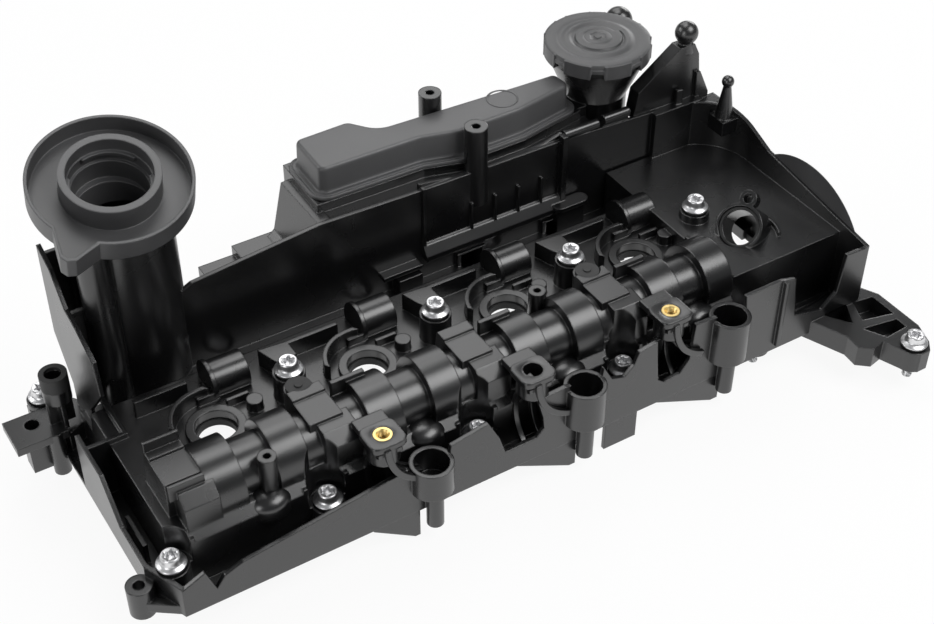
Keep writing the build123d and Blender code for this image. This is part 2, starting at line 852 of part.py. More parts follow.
with BuildPart() as fittings:
    # All screw bosses
    for name, (x, y, z) in screw_places:
        post(x, y, gasket_z, z, 8.4 if name == "well_screw" else tower_r)

    # Injector well collars and the knobs beside them
    for k in range(cylinders):
        post(bore_pitch * k, 0, -well_depth, 0, injector_bore_r + well_collar_w)
        post(24.8 + bore_pitch * k, 4.7, floor_z - 1, 3.4, 4.5)

    # Slanted sensor port with its eyelet, guard rib and the rib at the edge of the platform
    with Locations(port_plane):
        Cylinder(port_collar_r, port_length, align=(Align.CENTER, Align.CENTER, Align.MAX))
        with Locations(eyelet_place):
            Cylinder(eyelet_r, eyelet_depth, align=(Align.CENTER, Align.CENTER, Align.MAX))
    with BuildSketch(port_plane) as eyelet_web:
        with Locations(Location((0, 0, 0), (0, 0, eyelet_turn))):
            Rectangle(eyelet_reach, 1.6 * eyelet_r, align=(Align.MIN, Align.CENTER))
    extrude(eyelet_web.sketch, amount=-eyelet_depth / 2)
    with BuildSketch(Plane.XY.offset(platform_z - 1)) as guard:
        with Locations((port_x, port_y)):
            Circle(guard_r + 1.8)
            Circle(guard_r, mode=Mode.SUBTRACT)
            Rectangle(40, 26, align=(Align.MIN, Align.CENTER), mode=Mode.INTERSECT)
    extrude(guard.sketch, amount=4)
    block(platform_x, platform_x + 2, platform_front_y, -11, platform_z - 1, platform_z + 2)

    # Bosses for the brass inserts, on curved slotted legs
    for k in range(cylinders - 1):
        x = insert_first_x + bore_pitch * k
        post(x, insert_y, insert_top_z - boss_h, insert_top_z, insert_boss_r)
        block(x - insert_boss_r, x + insert_boss_r, insert_y, -52, insert_top_z - 5, insert_top_z - 1)
        for side in (-5.5, 5.5):
            with BuildSketch(Plane.YZ.offset(x + side - 1.5)) as leg:
                with Locations((insert_y - 17, -10)):
                    Circle(leg_r)
                    Circle(leg_r - wall, mode=Mode.SUBTRACT)
                    Rectangle(leg_r + 1, 2 * leg_r, align=(Align.MIN, Align.CENTER), mode=Mode.INTERSECT)
                with Locations((insert_y - 8, 0)):
                    Rectangle(60, 60, align=(Align.MIN, Align.CENTER), mode=Mode.INTERSECT)
            extrude(leg.sketch, amount=3)

    # Posts with holes, plug sockets, standoffs
    for x, y, z in peg_posts:
        post(x, y, z, peg_post_top_z, peg_post_r)
    for x, y, z in plug_places:
        post(x, y, floor_z - 1, z, plug_r + plug_rim)
    for x, y, z in standoffs:
        post(x, y, z, standoff_top_z, standoff_r)

    # Upright plates behind the humps
    for k in range(cylinders - 1):
        x = plate_start_x + bore_pitch * k
        block(x, x + plate_w, plate_y, plate_y + wall, floor_z - 1, plate_top_z)

    # Ridge, pad and curved rib that frame each well on its rear side
    for k in range(cylinders - 1):
        base_x = bore_pitch * k
        block(base_x + ridge_x0, base_x + ridge_x1, ridge_y - wall / 2, ridge_y + wall / 2, floor_z - 1, ridge_z)
        plan_plate([(base_x + x, y) for x, y in screw_pad], floor_z - 1, ridge_z)
    for k in range(cylinders):
        with BuildSketch(Plane.XY.offset(floor_z - 1)) as well_rib:
            with Locations((bore_pitch * k, 0)):
                Circle(well_rib_r + wall)
                Circle(well_rib_r, mode=Mode.SUBTRACT)
                with Locations(Location((0, 0, 0), (0, 0, 125))):
                    Rectangle(40, 34, align=(Align.MIN, Align.CENTER), mode=Mode.INTERSECT)
        extrude(well_rib.sketch, amount=ridge_z - floor_z)
        ledge_x = bore_pitch * k - 1
        block(ledge_x, ledge_x + 11, 20.5, 22.5, floor_z - 1, 2)
        block(ledge_x + 13, ledge_x + 26, 12, 14, floor_z - 1, 2)
    block(ridge_x1 - bore_pitch - 30, ridge_x1 - bore_pitch, ridge_y - wall / 2, ridge_y + wall / 2, floor_z - 1, ridge_z)
    block(-46, -27, -19.5, -17.5, 14, 27)
    block(-46, -27, -49, -47, 12, 22)
    block(320.5, 323, front_y - 2.5, front_y + 1, -36, 12)
    # Round tab and lying half-round ribs on the wall below the valve
    with Locations((347, back_y - 1, 30)):
        Cylinder(9, 4, rotation=(90, 0, 0))
    lying_cylinder(268, 293, back_y + 1, 45.5, 3)
    lying_cylinder(297, 316, back_y + 1, 46.5, 3)
    block(297, 316, back_y, back_y + wall, 20, 46.5)
    block(369, 384, 62, 72, 33, 37)
    front_sheet([(368, 34), (367, 58), (370, 58), (378, 41), (378, 34)], 70.5, wall)

with BuildPart() as openings:
    # Screw holes with the seats of their grommets
    for name, (x, y, z) in screw_places:
        post(x, y, z - grommet_h, z + 1, grommet_bore_r)
        post(x, y, gasket_z - 1, z, sleeve_r + sleeve_gap)
    # Pits in the gutter above the rear screws
    for x, y, z in rear_row:
        post(x, y, z, gutter_z + 1, rear_pit_r)
    # Sockets of the rubber plugs, clear above
    for x, y, z in plug_places:
        post(x, y, z - plug_depth - 1, z, plug_stem_r + plug_gap)
        post(x, y, z, z + 12, plug_r + 0.6)
    # Seats of the inserts, holes of the posts and standoffs
    for k in range(cylinders - 1):
        post(insert_first_x + bore_pitch * k, insert_y, insert_top_z - insert_h, insert_top_z + 1, insert_r)
    for x, y, z in peg_posts:
        post(x, y, peg_post_top_z - peg_post_depth, peg_post_top_z + 1, peg_post_bore_r)
    for x, y, z in standoffs:
        post(x, y, standoff_top_z - standoff_depth, standoff_top_z + 1, standoff_bore_r)
    # Holes of the left end
    post(-71, -56, gasket_z - 1, -26, 3)
    post(-78, 72.5, gutter_z - 14, gutter_z + 1, 4)
    post(bush_x, bush_y, bush_top_z - 16, bush_top_z + 1, bush_bore_r)
    # Injector wells and sensor port, with the seats of their seals
    for k in range(cylinders):
        post(bore_pitch * k, 0, -well_depth - 5, 1, injector_bore_r)
        post(
            bore_pitch * k,
            0,
            -well_depth - 1,
            -well_depth + seal_h,
            injector_bore_r - 1 + seal_w + seal_gap,
        )
    with Locations(port_plane):
        Cylinder(port_bore_r, port_length + 12, align=(Align.CENTER, Align.CENTER, Align.MAX))
        Cylinder(port_mouth_r, port_mouth_d, align=(Align.CENTER, Align.CENTER, Align.MAX))
        Cylinder(port_mouth_r, 8, align=(Align.CENTER, Align.CENTER, Align.MIN))
        with Locations(eyelet_place):
            Cylinder(eyelet_bore_r, eyelet_depth - 1.5, align=(Align.CENTER, Align.CENTER, Align.MAX))
            Cylinder(eyelet_r, 6, align=(Align.CENTER, Align.CENTER, Align.MIN))
    # Neck bore and its window into the tray
    post(neck_x, neck_y, -36, dish_z + 20, neck_r - neck_wall)
    block(neck_x - 15, neck_x + 15, 54, 72, -36, gutter_z - wall)
    # Inside of the drain duct and the breather duct
    for x in (drain_x, drain_x + 62):
        block(x - 7.5, x + 7.5, skirt_back_y - 3, drain_y + 7.5, -33.5, chamber_foot_z)
    # Groove of the perimeter gasket
    gasket_band(groove_w, gasket_z - 1, gasket_z + groove_d)

with BuildPart() as cover_body:
    # One moulding: all the forms joined, then the openings taken out
    add(tray.part)
    add(outer_walls.part)
    add(separator_shell.part)
    add(neck.part)
    add(studs.part)
    add(fittings.part)
    add(openings.part, mode=Mode.SUBTRACT)

cover_body.part.label = "cover_body"

with BuildPart() as filler_funnel:
    # Drip dish with its pouring lip
    with BuildSketch(dish_plane.offset(-dish_depth - dish_floor)) as dish_outer:
        Circle(dish_r)
        with BuildLine():
            Polyline(
                (-39, -19),
                (-42.5, -37),
                (-40.5, -41),
                (-36, -42.5),
                (-22, -37.5),
                (0, -10),
                close=True,
            )
        make_face()
    extrude(amount=dish_depth + dish_floor)
    with BuildSketch(dish_plane.offset(-dish_depth)) as dish_inner:
        Circle(dish_r - dish_wall)
        with BuildLine():
            Polyline(
                (-37.4, -18),
                (-40.6, -36),
                (-39, -39.4),
                (-36, -40.4),
                (-22.5, -35.8),
                (0, -10),
                close=True,
            )
        make_face()
    extrude(amount=dish_depth + 1, mode=Mode.SUBTRACT)
    # Inner collar, bore and bayonet ramps
    with BuildSketch(dish_plane.offset(-dish_depth - 1)) as collar:
        Circle(collar_r)
    extrude(amount=dish_depth + 1 + collar_rise)
    # Upright spigot that enters the neck tube
    with BuildSketch(Plane.XY.offset(spigot_z)) as spigot:
        with Locations((neck_x, neck_y)):
            Circle(neck_r - neck_wall - spigot_gap)
    extrude(until=Until.NEXT)
    with BuildSketch(Plane.XY.offset(spigot_z - 1)) as spigot_bore:
        with Locations((neck_x, neck_y)):
            Circle(collar_bore_r - 1.5)
    extrude(amount=16, mode=Mode.SUBTRACT)
    with BuildSketch(dish_plane.offset(-dish_depth - throat_reach)) as collar_throat:
        Circle(collar_bore_r - ramp_w)
    extrude(amount=dish_depth + throat_reach + 20, mode=Mode.SUBTRACT)
    with BuildSketch(dish_plane.offset(collar_rise - ramp_drop)) as collar_mouth:
        Circle(collar_bore_r)
    extrude(amount=ramp_drop + 1, mode=Mode.SUBTRACT)
    with BuildSketch(dish_plane.offset(collar_rise - ramp_drop - ramp_h - ramp_undercut)) as undercut:
        Circle(bayonet_r)
    extrude(amount=ramp_undercut, mode=Mode.SUBTRACT)
    for turn in (10, 130, 250):
        with BuildSketch(dish_plane.offset(collar_rise - ramp_drop - ramp_h - 1)) as entry:
            Circle(bayonet_r)
            with Locations(Location((0, 0, 0), (0, 0, turn))):
                Rectangle(40, ramp_entry_w, align=(Align.MIN, Align.CENTER), mode=Mode.INTERSECT)
        extrude(amount=ramp_h + 2, mode=Mode.SUBTRACT)

filler_funnel.part.label = "filler_funnel"

with BuildPart() as separator_lid:
    # Weld flange, walls and top, open underneath
    plan_plate(lid_outline, weld_z, weld_z + weld_t, grow=weld_flange)
    plan_plate(lid_outline, weld_z, lid_top_z)
    plan_plate(lid_outline, weld_z - 1, lid_top_z - chamber_wall, mode=Mode.SUBTRACT, grow=-chamber_wall)
    for x, y, z in standoffs:
        post(x, y, weld_z - 1, weld_z + 20, standoff_r + baffle_gap, Mode.SUBTRACT)
    post(241.6, 101.2, lid_top_z - 1, lid_top_z + 0.6, 4)
    post(241.6, 101.2, lid_top_z, lid_top_z + 1, 3, Mode.SUBTRACT)

separator_lid.part.label = "separator_lid"

with BuildPart() as separator_baffle:
    # Nozzle plate on the ledge inside the lower shell
    plan_plate(
        lid_outline,
        weld_z - 4,
        weld_z - 4 + baffle_t,
        grow=weld_flange - chamber_wall - baffle_gap,
    )
    with BuildSketch(Plane.XY.offset(weld_z - 5)) as nozzles:
        with Locations((240, 98)):
            with GridLocations(11, 9, 5, 2):
                Circle(nozzle_r)
    extrude(nozzles.sketch, amount=5, mode=Mode.SUBTRACT)
    for x, y, z in standoffs:
        post(x, y, weld_z - 5, weld_z, standoff_r + baffle_gap, Mode.SUBTRACT)

separator_baffle.part.label = "separator_baffle"

with BuildPart() as drain_valve:
    # Rubber umbrella under the floor of the lower shell
    post(drain_x, drain_y, chamber_foot_z - 1.4, chamber_foot_z, drain_cap_r)
    post(drain_x, drain_y, chamber_foot_z - 1, chamber_foot_z + chamber_wall + 1, drain_hole_r - 0.3)
    frustum(
        drain_x,
        drain_y,
        chamber_foot_z + chamber_wall,
        drain_hole_r + 0.9,
        chamber_foot_z + chamber_wall + 3,
        1.2,
    )

drain_valve.part.label = "drain_valve"

with BuildPart() as valve_cap:
    # Snap-on cap: skirt with windows, rings on its top
    post(valve_x, valve_y, cap_top_z - cap_h, cap_top_z, cap_r)
    post(
        valve_x,
        valve_y,
        cap_top_z - cap_h - 1,
        cup_rim_z + bead_h,
        cup_r + cap_gap,
        Mode.SUBTRACT,
    )
    for angle in range(0, 360, 45):
        with Locations(Location((valve_x, valve_y, cap_top_z - cap_h), (0, 0, angle + 10))):
            with Locations((cap_r, 0, 0)):
                Box(8, 9, 8, mode=Mode.SUBTRACT)
    post(valve_x, valve_y, cap_top_z - 1, cap_top_z + 1.2, 24)
    post(valve_x, valve_y, cap_top_z, cap_top_z + 2, 21, Mode.SUBTRACT)
    post(valve_x, valve_y, cap_top_z - 1, cap_top_z + 1.6, 13)
    post(valve_x, valve_y, cap_top_z + 0.6, cap_top_z + 2, 10, Mode.SUBTRACT)

valve_cap.part.label = "valve_cap"

valve_plane = Plane(origin=(valve_x, valve_y, 0), x_dir=(1, 0, 0), z_dir=(0, -1, 0))
valve_axis = Axis((valve_x, valve_y, 0), (0, 0, 1))

with BuildPart() as valve_diaphragm:
    # Rubber membrane from the clamped bead down to the plate
    with BuildSketch(valve_plane) as membrane_section:
        with BuildLine():
            Polyline(
                (hub_r + hub_gap, plate_z + plate_t),
                (plate_r, plate_z + plate_t),
                (plate_r + 6, cup_rim_z - 2.5),
                (cup_r - wall - 1.5, cup_rim_z),
                (cup_r, cup_rim_z),
                (cup_r, cup_rim_z + bead_h),
                (cup_r - wall, cup_rim_z + bead_h),
                (plate_r + 5.6, cup_rim_z - 1.2),
                (plate_r - 0.4, plate_z + plate_t + diaphragm_t),
                (hub_r + hub_gap, plate_z + plate_t + diaphragm_t),
                close=True,
            )
        make_face()
    revolve(axis=valve_axis)

valve_diaphragm.part.label = "valve_diaphragm"

with BuildPart() as diaphragm_plate:
    # Disc under the membrane with its hub through it
    post(valve_x, valve_y, plate_z, plate_z + plate_t, plate_r)
    post(valve_x, valve_y, plate_z, plate_z + plate_t + diaphragm_t + 1, hub_r)

diaphragm_plate.part.label = "diaphragm_plate"

with BuildPart() as valve_spring:
    # Open coil between the cup floor and the plate
    coil_h = plate_z - cup_floor_z - 2 * spring_wire_r
    coil_start = (valve_x + spring_r, valve_y, cup_floor_z + spring_wire_r)
    with BuildLine() as coil:
        Helix(
            pitch=coil_h / spring_turns,
            height=coil_h,
            radius=spring_r,
            center=(valve_x, valve_y, cup_floor_z + spring_wire_r),
        )
    with BuildSketch(Plane(origin=coil_start, z_dir=coil.line % 0)) as wire:
        RegularPolygon(spring_wire_r, 6)
    sweep(wire.sketch, path=coil.line)

valve_spring.part.label = "valve_spring"

with BuildPart() as perimeter_gasket:
    # Rubber cord in the groove of the flange
    gasket_band(gasket_w, gasket_z + groove_d - gasket_h, gasket_z + groove_d)

perimeter_gasket.part.label = "perimeter_gasket"

with BuildPart() as injector_well_seals:
    # One lip ring under each injector well
    for k in range(cylinders):
        base = -well_depth + seal_h - seal_h
        with BuildSketch(Plane.XY.offset(base)) as well_seal:
            with Locations((bore_pitch * k, 0)):
                Circle(injector_bore_r - 1 + seal_w)
                Circle(injector_bore_r - 1, mode=Mode.SUBTRACT)
        extrude(well_seal.sketch, amount=seal_h)

injector_well_seals.part.label = "injector_well_seals"

with BuildPart() as sensor_port_seal:
    # Ring in the mouth of the sensor port
    with BuildSketch(port_plane.offset(-port_mouth_d)) as port_seal:
        Circle(port_mouth_r - seal_gap)
        Circle(port_bore_r + 0.4, mode=Mode.SUBTRACT)
    extrude(port_seal.sketch, amount=2)

sensor_port_seal.part.label = "sensor_port_seal"

with BuildPart() as screw_sleeves:
    # Steel sleeve in every screw boss
    for name, (x, y, z) in screw_places:
        with BuildSketch(Plane.XY.offset(gasket_z)) as sleeve:
            with Locations((x, y)):
                Circle(sleeve_r)
                Circle(sleeve_bore_r, mode=Mode.SUBTRACT)
        extrude(sleeve.sketch, amount=z + grommet_rise - gasket_z)

screw_sleeves.part.label = "screw_sleeves"

with BuildPart() as screw_grommets:
    # Rubber ring round the head end of every sleeve
    for name, (x, y, z) in screw_places:
        with BuildSketch(Plane.XY.offset(z - grommet_h)) as grommet:
            with Locations((x, y)):
                Circle(grommet_r)
                Circle(sleeve_r + sleeve_gap, mode=Mode.SUBTRACT)
        extrude(grommet.sketch, amount=grommet_h + grommet_rise)

screw_grommets.part.label = "screw_grommets"

screws = []
for name, (x, y, z) in screw_places:
    under = z + grommet_rise
    with BuildPart() as screw:
        # Threaded end, waisted shank, flange and raised head with a socket
        post(x, y, gasket_z - screw_reach, gasket_z - thread_play, thread_r)
        post(x, y, gasket_z - thread_play, under, shank_r)
        post(x, y, under, under + washer_h, flange_r)
        frustum(x, y, under + washer_h, flange_r - 1, under + washer_h + flare_h, head_r)
        post(x, y, under, under + washer_h + head_h, head_r)
        tip_edge = screw.part.faces().sort_by(Axis.Z)[0].edges()
        chamfer(tip_edge, length=0.7)
        with BuildSketch(Plane.XY.offset(under + washer_h + head_h - socket_d)) as socket:
            with Locations((x, y)):
                RegularPolygon(socket_r, 6)
        extrude(socket.sketch, amount=socket_d + 1, mode=Mode.SUBTRACT)
    screw.part.label = name
    screws.append(screw.part)

inserts = []
for number, k in enumerate((0, 2)):
    x = insert_first_x + bore_pitch * k
    with BuildPart() as brass_insert:
        # Knurled bush, drawn plain, with the tapping hole of its thread
        post(x, insert_y, insert_top_z - insert_h, insert_top_z, insert_r)
        post(x, insert_y, insert_top_z - insert_h - 1, insert_top_z + 1, insert_bore_r, Mode.SUBTRACT)
    brass_insert.part.label = "brass_insert_%d" % (number + 1)
    inserts.append(brass_insert.part)

plugs = []
for number, (x, y, z) in enumerate(plug_places):
    with BuildPart() as rubber_plug:
        # Stem in the socket and the round head on top
        post(x, y, z - plug_depth, z, plug_stem_r)
        post(x, y, z, z + plug_head_h, plug_r)
        post(x, y, z + plug_head_h - 1, z + plug_head_h + 0.8, 2.2)
    rubber_plug.part.label = "rubber_plug_%d" % (number + 1)
    plugs.append(rubber_plug.part)

with BuildPart() as mount_bush:
    # Rubber sleeve with a lip over the end of the post
    post(bush_x, bush_y, bush_top_z - bush_h, bush_top_z, bush_r)
    post(bush_x, bush_y, bush_top_z - bush_h - 1, bush_top_z - bush_lip, spigot_r + bush_gap, Mode.SUBTRACT)
    post(bush_x, bush_y, bush_top_z - bush_lip - 1, bush_top_z + 1, bush_bore_r, Mode.SUBTRACT)

mount_bush.part.label = "mount_bush"

pieces = [
    cover_body.part,
    filler_funnel.part,
    separator_lid.part,
    separator_baffle.part,
    drain_valve.part,
    valve_cap.part,
    valve_diaphragm.part,
    diaphragm_plate.part,
    valve_spring.part,
    perimeter_gasket.part,
    injector_well_seals.part,
    sensor_port_seal.part,
    screw_sleeves.part,
    screw_grommets.part,
    mount_bush.part,
]
os.makedirs("parts", exist_ok=True)
for piece in pieces + screws + inserts + plugs:
    export_step(piece, "parts/" + piece.label + ".step")
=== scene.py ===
import math

import bmesh
import bpy
from mathutils import Matrix, Vector


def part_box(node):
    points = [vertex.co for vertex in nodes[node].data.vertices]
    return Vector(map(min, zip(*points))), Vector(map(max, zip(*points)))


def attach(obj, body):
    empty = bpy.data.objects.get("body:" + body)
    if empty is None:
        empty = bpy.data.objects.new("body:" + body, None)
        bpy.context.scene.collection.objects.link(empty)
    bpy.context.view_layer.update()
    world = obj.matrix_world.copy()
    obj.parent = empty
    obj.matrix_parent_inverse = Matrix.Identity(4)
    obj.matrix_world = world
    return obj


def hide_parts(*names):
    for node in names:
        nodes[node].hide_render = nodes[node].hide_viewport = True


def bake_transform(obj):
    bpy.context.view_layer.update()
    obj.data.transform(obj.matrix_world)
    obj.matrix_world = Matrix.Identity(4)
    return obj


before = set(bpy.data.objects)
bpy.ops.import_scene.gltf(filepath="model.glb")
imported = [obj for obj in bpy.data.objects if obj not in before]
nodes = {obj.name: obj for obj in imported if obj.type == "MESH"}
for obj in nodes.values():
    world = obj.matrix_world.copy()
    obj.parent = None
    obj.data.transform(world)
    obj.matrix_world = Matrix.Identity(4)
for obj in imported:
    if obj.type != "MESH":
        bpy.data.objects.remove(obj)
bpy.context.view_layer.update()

# The forms below are written in millimetres, and this turns them into the frame's metres
MM = 0.001

# Camera, solved from the photograph, in metres and degrees
CAMERA_AT = (-0.1999, -0.5672, 0.5834)
CAMERA_AZIMUTH = -32.02
CAMERA_ELEVATION = 40.67
CAMERA_ROLL = 0.21
CAMERA_LENS = 60.67
SENSOR = 36.0
CLIP_NEAR = 0.01
CLIP_FAR = 20

# Studio, in metres: floor, share of white that the camera sees on it, and fill from all sides
FLOOR_Z = -0.060
FLOOR_HALF = 6.0
FLOOR_COLOUR = (0.9, 0.9, 0.9, 1)
FLOOR_SHOWN = 0.92
FILL_COLOUR = (0.96, 0.98, 1, 1)
FILL_STRENGTH = 0.18

# Soft boxes, in metres and watts: place, width and height, power
AIM = (0.15, 0.0, 0.0)
LAMPS = {
    "key": ((0.65, -0.62, 1.05), (0.95, 0.7), 10.0),
    "back": ((0.6, 1.05, 1.0), (0.9, 1.0), 5.0),
    "back_right": ((1.35, 0.8, 0.36), (0.6, 0.4), 3.5),
    "top": ((0.3, 0.5, 1.45), (0.8, 0.6), 4.5),
    "back_left": ((-0.75, 0.85, 0.75), (0.9, 0.5), 5.0),
    "left": ((-1.15, -0.55, 0.55), (0.5, 0.8), 4.0),
}

# Colours
BODY_BLACK = (0.006, 0.006, 0.0064)
LID_GREY = (0.062, 0.062, 0.064)
CAP_GREY = (0.06, 0.06, 0.062)
RUBBER_BLACK = (0.03, 0.03, 0.03)
ZINC = (0.86, 0.86, 0.87)
STEEL = (0.55, 0.55, 0.56)
BRASS = (1.0, 0.76, 0.32)

# Mottling of the plastic: size, detail, and the ramp's (position, strength) at each end
MOTTLE_SCALE = 14.0
MOTTLE_DETAIL = 5.0
MOTTLE_DARK = (0.35, 0.75)
MOTTLE_LIGHT = (0.7, 1.2)
ROUGH_BELOW = 0.06
ROUGH_ABOVE = 0.08
GRAIN_SCALE = 900.0
GRAIN_DETAIL = 3.0
GRAIN_DEPTH = 0.06 * MM
EDGE_R = 1.1 * MM
FINE_EDGE_R = 0.4 * MM
EDGE_SAMPLES = 6

# Turning marks of the metal
MARKS_SCALE = 420.0
MARKS_DETAIL = 4.0
MARKS_DARK = (0.3, 0.85)
MARKS_LIGHT = (0.75, 1.0)
MARKS_DEPTH = 0.05 * MM

# Shared sizes, in mm
BORE_PITCH = 91.0
CYLINDERS = 4
ROUND = 40
SHARP_EDGE = 35

# Screws: threaded tip, shank, flange, head and six-lobed socket
THREAD_R = 3.0
THREAD_DEPTH = 0.45
THREAD_PITCH = 1.0
THREAD_TURNS = 36
TIP_R = 2.1
TIP_H = 0.7
THREAD_H = 8.3
SHANK_R = 2.6
FLANGE_R = 7.9
HEAD_R = 5.3
HEAD_H = 6.6
SOCKET_R = 3.0
SOCKET_LOBE = 0.5
SOCKET_DEPTH = 3.4
SOCKET_MOUTH_R = 3.9
SOCKET_POINT_R = 1.2

# Brass inserts
INSERT_R = 5.2
KNURL_DEPTH = 0.12
KNURLS = 30
INSERT_MOUTH_R = 3.6
INSERT_BORE_R = 3.0
INSERT_THREAD_H = 10.8
INSERT_STEPS = 44

# Valve cap: outside, under its top, and the windows of its skirt
CAP_TOP = 80.0
CAP_OUTER = 33.7
CAP_INNER = 31.3
CAP_UNDER = 77.5
SKIRT_FOOT = 70.1
WINDOW_TOP = 74.2
WINDOW_COUNT = 8
WINDOW_START = 10
WINDOW_HALF = 0.125
RIB_HALF = 0.16
WINDOWS = [math.radians(WINDOW_START + 360 / WINDOW_COUNT * k) for k in range(WINDOW_COUNT)]

# Separator lid: plan corners with their radii, and (growth, height) of each level
LID_CORNERS = [
    (114, 92), (179, 91), (202, 84.5), (245, 85), (286, 92.5),
    (284.5, 107.4), (260, 108), (163, 112), (151, 128), (115, 127),
]
LID_RADII = [5, 18, 22, 30, 5, 4, 25, 16, 6, 5]
WELD_RIM = [(5.2, 46.0), (5.2, 47.6), (4.9, 48.1), (4.0, 48.3), (3.7, 47.9), (3.3, 47.9), (3.0, 48.3)]
LID_WALL = [(1.8, 48.3), (0.9, 48.5), (0.4, 49.1), (0.2, 50.2), (-0.2, 62.6), (-0.4, 63.6)]
LID_EDGE = [(-0.9, 64.4), (-1.8, 64.9), (-2.6, 65.0)]
LID_RING_AT = (241.6, 100.0)
LID_RING_R = 9.15
LID_TOP = 65.0

# Insert bosses, their plates and the legs beside them
BOSS_X = 61.8
BOSS_Y = -69.0
BOSS_HALF_X = 10.4
BOSS_HALF_Y = 9.4
BOSS_SQUARENESS = 5
PLATE_FOOT = 16.4
PLATE_TOP = 20.1
PLATE_BORE_R = 5.6
LEG_YS = (-78.0, -73.6, -69.2)
LEG_START = (-2.5, 17.0)
LEG_BEND = (-1.0, -6.0)
LEG_END = (19.0, -13.0)
LEG_WIDTH = 2.8
LEG_THICKNESS = 3.6
LEG_STEPS = 14

# Rounded feet beside the humps
BULGE_X = 3.0
BULGE_Y = -54.5
BULGE_R = 11.8
BULGE_SQUASH = 0.85
BULGE_FOOT = -14.0
BULGE_WAIST = -8.0
BULGE_RISE = 6.8
BULGE_STEPS = 9

# Side dome: (x, inset) of its skin; its round middle drifts as it leaves the wall
DOME_PROFILE = [
    (385.5, 0.0), (388, 0.0), (390.5, 0.1), (393, 0.3), (395.5, 0.8),
    (397.5, 1.5), (399.5, 2.8), (401, 4.6), (401.8, 7.0),
]
DOME_X = 386.5
DOME_MIDDLE_Y = -19.5
DOME_MIDDLE_Z = -20.0
DOME_DRIFT_Y = 0.93
DOME_DRIFT_Z = -1.015
DOME_R = 54.0
DOME_FLARE = 0.096
DOME_START = -20
DOME_SWEEP = 220
DOME_FOOT = -43.5
DOME_FOOT_RISE = 0.01
DOME_STEPS = 56

# Valve inside: membrane section from its hub along the underside and back over the top
MEMBRANE_UNDER = [
    (4.3, 71.5), (14.0, 71.5), (14.8, 71.7), (17.0, 72.6), (20.0, 73.5),
    (22.5, 74.4), (25.0, 75.3), (27.0, 76.0), (31.0, 76.0),
]
MEMBRANE_OVER = [
    (31.0, 77.5), (28.5, 77.5), (26.2, 76.7), (24.0, 76.1), (21.5, 75.5),
    (19.6, 74.8), (17.0, 73.8), (14.6, 72.7), (13.6, 72.5), (4.3, 72.5),
]
PLATE_UNDER_Z = 69.5
COIL_WIRE_R = 0.7
COIL_R = 12.0
COIL_TURNS = 5
COIL_SIDES = 10
COIL_STEPS = 160


def metres(x, y, z):
    return (x * MM, y * MM, z * MM)


def add_camera():
    data = bpy.data.cameras.new("camera")
    data.lens = CAMERA_LENS
    data.sensor_width = SENSOR
    data.sensor_fit = "HORIZONTAL"
    data.clip_start = CLIP_NEAR
    data.clip_end = CLIP_FAR
    camera = bpy.data.objects.new("camera", data)
    bpy.context.collection.objects.link(camera)
    az = math.radians(CAMERA_AZIMUTH)
    el = math.radians(CAMERA_ELEVATION)
    forward = Vector((-math.sin(az) * math.cos(el), math.cos(az) * math.cos(el), -math.sin(el)))
    turn = forward.to_track_quat("-Z", "Y").to_matrix().to_4x4()
    roll = Matrix.Rotation(math.radians(CAMERA_ROLL), 4, "Z")
    camera.matrix_world = Matrix.Translation(CAMERA_AT) @ turn @ roll
    bpy.context.scene.camera = camera


def node_of(tree, kind, **values):
    made = tree.nodes.new(kind)
    for key, value in values.items():
        setattr(made, key, value)
    return made


def noise(tree, scale, detail):
    """Noise laid out in the part's own space."""
    place = node_of(tree, "ShaderNodeNewGeometry")
    made = node_of(tree, "ShaderNodeTexNoise")
    made.inputs["Scale"].default_value = scale
    made.inputs["Detail"].default_value = detail
    tree.links.new(place.outputs["Position"], made.inputs["Vector"])
    return made


def shade(tree, shader, source, colour, dark, light):
    """Base colour that runs from a darker to a lighter tone of one colour."""
    ramp = node_of(tree, "ShaderNodeValToRGB")
    for number, (position, strength) in enumerate((dark, light)):
        element = ramp.color_ramp.elements[number]
        element.position = position
        element.color = [c * strength for c in colour] + [1]
    tree.links.new(source.outputs["Fac"], ramp.inputs["Fac"])
    tree.links.new(ramp.outputs["Color"], shader.inputs["Base Color"])


def bump(tree, shader, source, strength, depth):
    made = node_of(tree, "ShaderNodeBump")
    made.inputs["Strength"].default_value = strength
    made.inputs["Distance"].default_value = depth
    tree.links.new(source.outputs["Fac"], made.inputs["Height"])
    tree.links.new(made.outputs["Normal"], shader.inputs["Normal"])
    return made


def moulded(name, colour, roughness, grain=0.25, edge=EDGE_R, specular=0.5):
    """Moulded plastic or rubber: faint mottling, satin sheen, fine grain and softened edges."""
    mat = bpy.data.materials.new(name)
    mat.use_nodes = True
    tree = mat.node_tree
    shader = tree.nodes["Principled BSDF"]
    cloud = noise(tree, MOTTLE_SCALE, MOTTLE_DETAIL)
    shade(tree, shader, cloud, colour, MOTTLE_DARK, MOTTLE_LIGHT)
    rough = node_of(tree, "ShaderNodeMapRange")
    rough.inputs["To Min"].default_value = roughness - ROUGH_BELOW
    rough.inputs["To Max"].default_value = roughness + ROUGH_ABOVE
    tree.links.new(cloud.outputs["Fac"], rough.inputs["Value"])
    tree.links.new(rough.outputs["Result"], shader.inputs["Roughness"])
    fine = bump(tree, shader, noise(tree, GRAIN_SCALE, GRAIN_DETAIL), grain, GRAIN_DEPTH)
    soft = node_of(tree, "ShaderNodeBevel", samples=EDGE_SAMPLES)
    soft.inputs["Radius"].default_value = edge
    tree.links.new(soft.outputs["Normal"], fine.inputs["Normal"])
    shader.inputs["Specular IOR Level"].default_value = specular
    return mat


